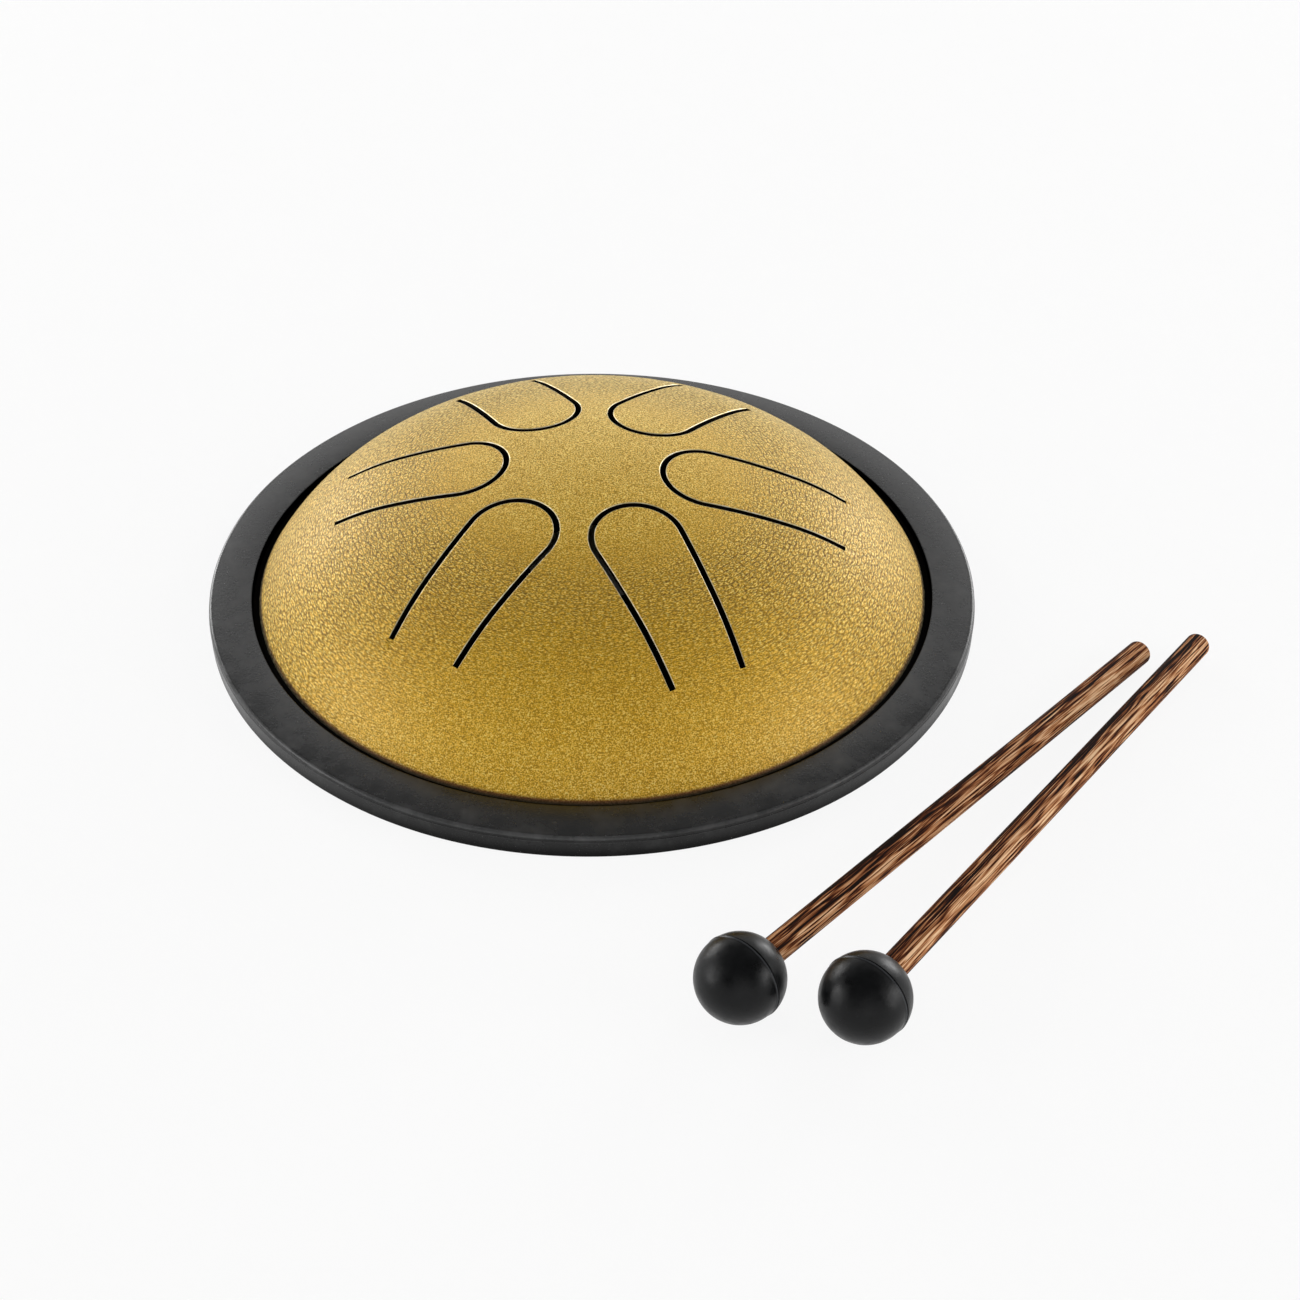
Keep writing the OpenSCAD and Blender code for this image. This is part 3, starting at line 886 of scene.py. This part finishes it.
def revolve(section, steps=ROUND_STEPS, swell=None):
    """Points (r cos a, r sin a, z) for every section point and angle, r swollen by a share at a."""
    angle = np.linspace(0, 2 * np.pi, steps + 1)
    angle[-1] = 0.0
    r = section[:, :1] * (1 if swell is None else swell(angle))
    return np.stack([r * np.cos(angle), r * np.sin(angle), section[:, 1:] + 0 * angle], -1)


def rounded(corners, steps=5):
    """Rounds the corners of a closed section: (r, z, radius) becomes an arc between its sides.

    The arc runs from the point that lies trim before the corner to the one that lies trim after
    it, where trim is radius * tan(half the turn), about a centre square to both sides.
    """
    corners = np.asarray(corners, float)
    spots = []
    for before, here, after in zip(np.roll(corners, 1, 0), corners, np.roll(corners, -1, 0)):
        back, on = before[:2] - here[:2], after[:2] - here[:2]
        back, on = back / np.linalg.norm(back), on / np.linalg.norm(on)
        if here[2] == 0:
            spots.append(here[None, :2])
            continue
        half = np.arccos(np.clip(back @ on, -1, 1)) / 2
        middle = (back + on) / np.linalg.norm(back + on)
        centre = here[:2] + middle * here[2] / sin(half)
        first, last = here[:2] + back * here[2] / np.tan(half), here[:2] + on * here[2] / np.tan(half)
        start = np.arctan2(*(first - centre)[::-1])
        sweep = np.arctan2(*(last - centre)[::-1]) - start
        sweep = (sweep + np.pi) % (2 * np.pi) - np.pi
        angle = start + sweep * np.linspace(0, 1, steps + 1)
        spots.append(centre + here[2] * np.stack([np.cos(angle), np.sin(angle)], 1))
    return np.concatenate(spots)


def closed_section(section):
    """The section with its first point repeated at its end."""
    return np.concatenate([section, section[:1]])


print("steps round a turned piece:", ROUND_STEPS)

# %% [markdown]
# ## The bottom pan
# The drum is closed from below by a second pressed sheet. It is dished up by 8 mm, so that
# it stays clear of the table, and has a round sound hole in its middle with a rolled edge. Its
# lower face is painted like the dome, and its upper face, which is inside the drum, is painted
# near-black as shade.
# The photograph doesn't show it, so its shape is what drums of this kind have. The weld beside
# it is a CAD node of the right shape, so it stays and only gets its finish.

# %% Build the bottom pan and finish the weld
PAN_WALL = 1.0
PAN_LOW = SEAM_Z - PAN_WALL
DISH_RISE = 8.0
DISH_RADIUS = 76.08
DISH_SOFT = 0.6
SOUND_HOLE = 15.0
HOLE_ROLL = 0.4
DISH_STEPS = 24
LIP_STEPS = 8

dish_sphere = (DISH_RADIUS ** 2 + DISH_RISE ** 2) / (2 * DISH_RISE)
dish_centre_z = PAN_LOW + DISH_RISE - dish_sphere
upper_sphere = dish_sphere + PAN_WALL
hole_start = SOUND_HOLE + HOLE_ROLL
low_face = arc(0, dish_centre_z, dish_sphere, asin(hole_start / dish_sphere),
               asin((DISH_RADIUS - DISH_SOFT) / dish_sphere), DISH_STEPS)
high_end = sqrt(upper_sphere ** 2 - (SEAM_Z - dish_centre_z) ** 2)
high_face = arc(0, dish_centre_z, upper_sphere, asin((high_end - DISH_SOFT) / upper_sphere),
                asin(hole_start / upper_sphere), DISH_STEPS)
lip = arc(0, high_face[-1, 1] - PAN_WALL / 2, PAN_WALL / 2, 0, -np.pi, LIP_STEPS)[1:-1]
lip = lip * [HOLE_ROLL / (PAN_WALL / 2), 1] + [hole_start, 0]
flange = np.array([[DISH_RADIUS + DISH_SOFT, PAN_LOW], [FLANGE_RADIUS, PAN_LOW],
                   [FLANGE_RADIUS, SEAM_Z], [high_end + DISH_SOFT, SEAM_Z]])
pan_section = closed_section(np.concatenate([low_face, flange, high_face, lip]))
painted_rows = len(low_face) + 2
in_drum = np.arange(len(pan_section) - 1) >= painted_rows
pan_mesh = closed_mesh("bottom_pan", [(revolve(pan_section), np.where(in_drum, 1, 0))])
pan = add_piece("bottom_pan", pan_mesh, (gold, inside), ["bottom_shell"])
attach(pan, "drum")
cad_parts["seam_weld"].data.materials.clear()
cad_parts["seam_weld"].data.materials.append(weld_steel)

# %% [markdown]
# ## The rubber ring
# One flat ring of black rubber, with a groove on its inside that grips both flanges, runs
# round the drum and is what it stands on. Its outer upper edge is rounded and catches a line
# of light, strengthened by a painted highlight in its finish, and the fine mould line runs just
# under it. Each corner is given as its distance from the axis, its height and its rounding.
# Rubber is never quite true, so the ring's width wavers by less than a tenth of a millimetre
# round the drum.

# %% Build the ring
RING_OPENING = 79.8
RING_OUTSIDE = 90.0
RING_HEIGHT = 5.6
GROOVE_DEPTH = 87.1
RING_LINE = 4.25
LINE_PROUD = 0.09
LINE_HALF = 0.15
WAVER = 0.0004

ring_corners = [
    (RING_OPENING, RING_HEIGHT, 0.5), (RING_OPENING, FLANGE_TOP, 0.15), (GROOVE_DEPTH, FLANGE_TOP, 0),
    (GROOVE_DEPTH, PAN_LOW, 0), (RING_OPENING, PAN_LOW, 0.15), (RING_OPENING, 0, 0.4),
    (RING_OUTSIDE, 0, 0.6), (RING_OUTSIDE, RING_LINE - LINE_HALF, 0.1),
    (RING_OUTSIDE + LINE_PROUD, RING_LINE, 0.06), (RING_OUTSIDE, RING_LINE + LINE_HALF, 0.1),
    (RING_OUTSIDE, RING_HEIGHT, 0.8),
]


def waver(angle):
    """1 + share * (sin(3a + 0.7) + 0.6 sin(7a + 2.1) + 0.4 sin 12a), three slow waves out of step."""
    waves = np.sin(3 * angle + 0.7) + 0.6 * np.sin(7 * angle + 2.1) + 0.4 * np.sin(12 * angle)
    return 1 + WAVER * waves


ring_section = closed_section(rounded(ring_corners))
ring_mesh = closed_mesh("rubber_ring_moulding", [(revolve(ring_section, swell=waver), 0)])
ring = add_piece("rubber_ring_moulding", ring_mesh, (ring_rubber,), ["rubber_ring"])
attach(ring, "drum")

# %% [markdown]
# ## The mallets' balls
# A mallet is a turned stick with a moulded rubber ball on it. In the mallet's own frame the
# ball's centre is the origin and the stick runs along +Z. The ball comes from a two-part
# mould that didn't quite close: its back half is a touch larger and sits a little to one side,
# and a fine groove with a raised lip runs round the ball's middle where the halves met. So the
# ball isn't a sphere but a section of its own: front half, lip, back half and the stick's well.
# The lip's points are given from the axis and from the mould line.

# %% Draw a ball's section
BALL_RADIUS = 9.15
FRONT_RADIUS = 9.0
BACK_RADIUS = 9.12
MOULD_LINE = 0.6
LIP_START = 0.4
LIP_END = 0.27
HALVES_SHIFT = 0.12
SHIFT_START = 3.4
SHIFT_RUN = 3.0
STICK_RADIUS = 2.85
STICK_DEPTH = 4.0
MOUTH_ROUND = 0.35
WELL_EDGE = 0.12
GLUE = 0.03
FRONT_STEPS = 48
BACK_STEPS = 40
BALL_ROUND_STEPS = 128

front_end = np.arccos((MOULD_LINE - LIP_START) / FRONT_RADIUS)
front = arc(0, 0, FRONT_RADIUS, np.pi, front_end, FRONT_STEPS)
front[0, 0] = 0.0
back_start = np.arccos((MOULD_LINE + LIP_END) / BACK_RADIUS)
mouth = np.arcsin((STICK_RADIUS + MOUTH_ROUND) / BACK_RADIUS)
back = arc(0, 0, BACK_RADIUS, back_start, mouth, BACK_STEPS)
raised = [[9.06, -0.24], [9.13, -0.13], [9.13, -0.06], [9.0, 0.0], [8.62, 0.04]]
groove = [[8.6, 0.12], [8.98, 0.19]]
lip = np.array(raised + groove) + [0, MOULD_LINE]
socket = STICK_RADIUS + GLUE
mouth_z = back[-1, 1]
well = np.array([[socket + WELL_EDGE, mouth_z + 0.02], [socket, mouth_z - WELL_EDGE],
                 [socket, -STICK_DEPTH - GLUE], [0.0, -STICK_DEPTH - GLUE]])
ball_section = np.concatenate([front, lip, back, well])
behind = slice(len(front) + len(raised), -len(well))
back_half = np.zeros(len(ball_section))
back_half[behind] = np.clip((ball_section[behind, 0] - SHIFT_START) / SHIFT_RUN, 0, 1)
ball_points = revolve(ball_section, BALL_ROUND_STEPS)
ball_points[..., 1] -= HALVES_SHIFT * back_half[:, None]
print("widest part of a ball:", 2 * float(ball_section[:, 0].max()), "mm")

# %% [markdown]
# ## The mallets' handles
# A handle is a plain turned rod with a rounded end, sunk into its ball to 4 mm past the middle.
# It ends 2.4 mm short of the CAD's, to match the handles in the photograph. The ball is thicker
# than the rod, so a mallet that lies on the table slopes down to the rod's end. The two handles
# are cut from different places of the same wood, which a shift along it gives.

# %% Build the mallets
CAD_REACH = 147.6
CAD_END = 1.2
SHORTER = 2.4
STICK_REACH = CAD_REACH - SHORTER
STICK_END = 1.1
END_SUPPORT = 0.3
END_STEPS = 12
SHANK_POINTS = 40
STICK_ROUND_STEPS = 64
STICK_SLOPE = asin((BALL_RADIUS - STICK_RADIUS) / (CAD_REACH - CAD_END))
MALLETS = {"mallet_left": (30.8, -132.5, 48.7, 0.0), "mallet_right": (54.6, -137.4, 53.7, 400.0)}


def mallet_place(x, y, azimuth):
    """The own frame's turn and place: tip +Z down to level and a little more, then turn about +Z."""
    tip = Matrix.Rotation(np.pi / 2 + STICK_SLOPE, 4, "Y")
    spin = Matrix.Rotation(radians(azimuth), 4, "Z")
    return Matrix.Translation(Vector((x, y, BALL_RADIUS)) * MM) @ spin @ tip


end = arc(STICK_RADIUS - STICK_END, STICK_REACH - STICK_END, STICK_END, np.pi / 2, 0, END_STEPS)
shank_z = np.linspace(-STICK_DEPTH, STICK_REACH - STICK_END - END_SUPPORT, SHANK_POINTS)
shank = np.stack([np.full(SHANK_POINTS, STICK_RADIUS), shank_z], 1)
stick_section = np.concatenate([[[0.0, -STICK_DEPTH]], shank, end, [[0.0, STICK_REACH]]])
stick_points = revolve(stick_section, STICK_ROUND_STEPS)

for name, (x, y, azimuth, cut_from) in MALLETS.items():
    place = mallet_place(x, y, azimuth)
    ball = closed_mesh(name + "_ball", [(ball_points, 0)], place, "in_mallet")
    stick = closed_mesh(name + "_stick", [(stick_points, 0)], place, "in_mallet", cut_from)
    head = add_piece(name + "_ball", ball, (head_rubber,), [name + "_head"])
    handle = add_piece(name + "_stick", stick, (wood,), [name + "_handle"])
    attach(head, name)
    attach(handle, name)

# %% [markdown]
# ## The paper tent
# The drum stands in a round white tent: a floor that curves up into a wall all round. To the
# camera, and in reflections, most of the tent's paper is plain white, and the rest of it takes
# the drum's soft shadow. Under the drum it stays dark, as no light gets in there. The wall is
# higher at the back than at the front, because that is where the dome's grazing reflections
# look. A dim grey world stands for the ceiling.

# %% Make the tent
FLOOR_RADIUS = 1.3
WALL_RADIUS = 1.7
WALL_HEIGHT = 0.9
WALL_LEAN = 0.45
TENT_STEPS = 96
CURVE_STEPS = 12
FIBRES_PER_METRE = 60.0
PAPER_GLOW = 0.9
GLOW_START = (0.086, 0.0885)
CEILING = 0.28

paper, paper_shader = new_finish("matt_white_paper", Roughness=0.9)
fibre = node(paper, "TexNoise", Vector=node(paper, "TexCoord").outputs["Object"],
             Scale=FIBRES_PER_METRE)
paper_tone = node(paper, "ValToRGB", n0=fibre.outputs["Fac"],
                  stops=[(0.3, "#F9F9F8"), (0.7, "#FDFDFC")])
link(paper, paper_tone.outputs[0], paper_shader.inputs["Base Color"])
white = node(paper, "Emission", Color=colour("#FFFFFF"), Strength=1.0)
ray = node(paper, "LightPath").outputs
seen = node(paper, "Math", {"operation": "ADD"}, n0=ray["Is Camera Ray"], n1=ray["Is Glossy Ray"])
seen_through = node(paper, "Math", {"operation": "ADD"}, n0=seen.outputs[0],
                    n1=ray["Is Transmission Ray"])
on_floor = node(paper, "VectorMath", {"operation": "LENGTH"},
                n0=node(paper, "TexCoord").outputs["Object"]).outputs["Value"]
beyond_ring = node(paper, "MapRange", Value=on_floor, From_Min=GLOW_START[0],
                   From_Max=GLOW_START[1], To_Max=PAPER_GLOW)
share = node(paper, "Math", TIMES, n0=seen_through.outputs[0], n1=beyond_ring.outputs[0])
both = node(paper, "MixShader", n0=share.outputs[0], n1=paper_shader.outputs[0], n2=white.outputs[0])
link(paper, both.outputs[0], paper.node_tree.nodes["Material Output"].inputs["Surface"])

bend_radius = WALL_RADIUS - FLOOR_RADIUS
curve = arc(FLOOR_RADIUS, bend_radius, bend_radius, np.pi, np.pi / 2, CURVE_STEPS)
tent_section = np.concatenate([[[0.0, 0.0]], curve, [[WALL_RADIUS, WALL_HEIGHT]]]) / MM
tent_points = revolve(tent_section, TENT_STEPS)
tent_points[-1, :, 2] += WALL_LEAN / MM * np.sin(np.linspace(0, 2 * np.pi, TENT_STEPS + 1))
tent_mesh = closed_mesh("tent", [(tent_points, 0)])
tent_mesh.materials.append(paper)
tent_mesh.polygons.foreach_set("use_smooth", np.ones(len(tent_mesh.polygons), bool))
tent = bpy.data.objects.new("tent", tent_mesh)
bpy.context.collection.objects.link(tent)

world = bpy.data.worlds.new("studio")
world.use_nodes = True
world.node_tree.nodes["Background"].inputs["Color"].default_value = colour("#DCDDDE")
world.node_tree.nodes["Background"].inputs["Strength"].default_value = CEILING
bpy.context.scene.world = world
bpy.context.scene.view_settings.view_transform = "Standard"
print("tent:", 2 * WALL_RADIUS, "m across")

# %% [markdown]
# ## The soft boxes
# Five square lamps stand round the drum, all low, so that light glances off the dome's flanks
# and turns them pale, while the dimmer ceiling keeps the middle of the dome deep. The big
# boxes on the left and the right show as two grey clouds on each rubber ball. A weak one in
# front lifts the ring's front, and two small ones behind brighten the back of the dome. Light
# from above would be simpler, and would wash out the grain.

# %% Light the drum
AIM = (0, 0, 0.03)
LAMPS = {
    "left_box": ((-1.2, -0.2, 0.36), 0.7, 5.6),
    "right_box": ((1.14, -0.35, 0.36), 0.7, 5.5),
    "front_box": ((0.1, -1.15, 0.5), 0.8, 1.4),
    "back_left_box": ((-0.82, 0.9, 0.28), 0.52, 6.0),
    "back_right_box": ((0.82, 0.9, 0.28), 0.52, 6.0),
}

for name, (place, size, power) in LAMPS.items():
    light = bpy.data.lights.new(name, "AREA")
    light.size = size
    light.energy = power
    lamp = bpy.data.objects.new(name, light)
    lamp.location = place
    lamp.rotation_euler = (Vector(AIM) - Vector(place)).to_track_quat("-Z", "Y").to_euler()
    lamp.visible_camera = False
    bpy.context.collection.objects.link(lamp)
print("lamps:", list(LAMPS))
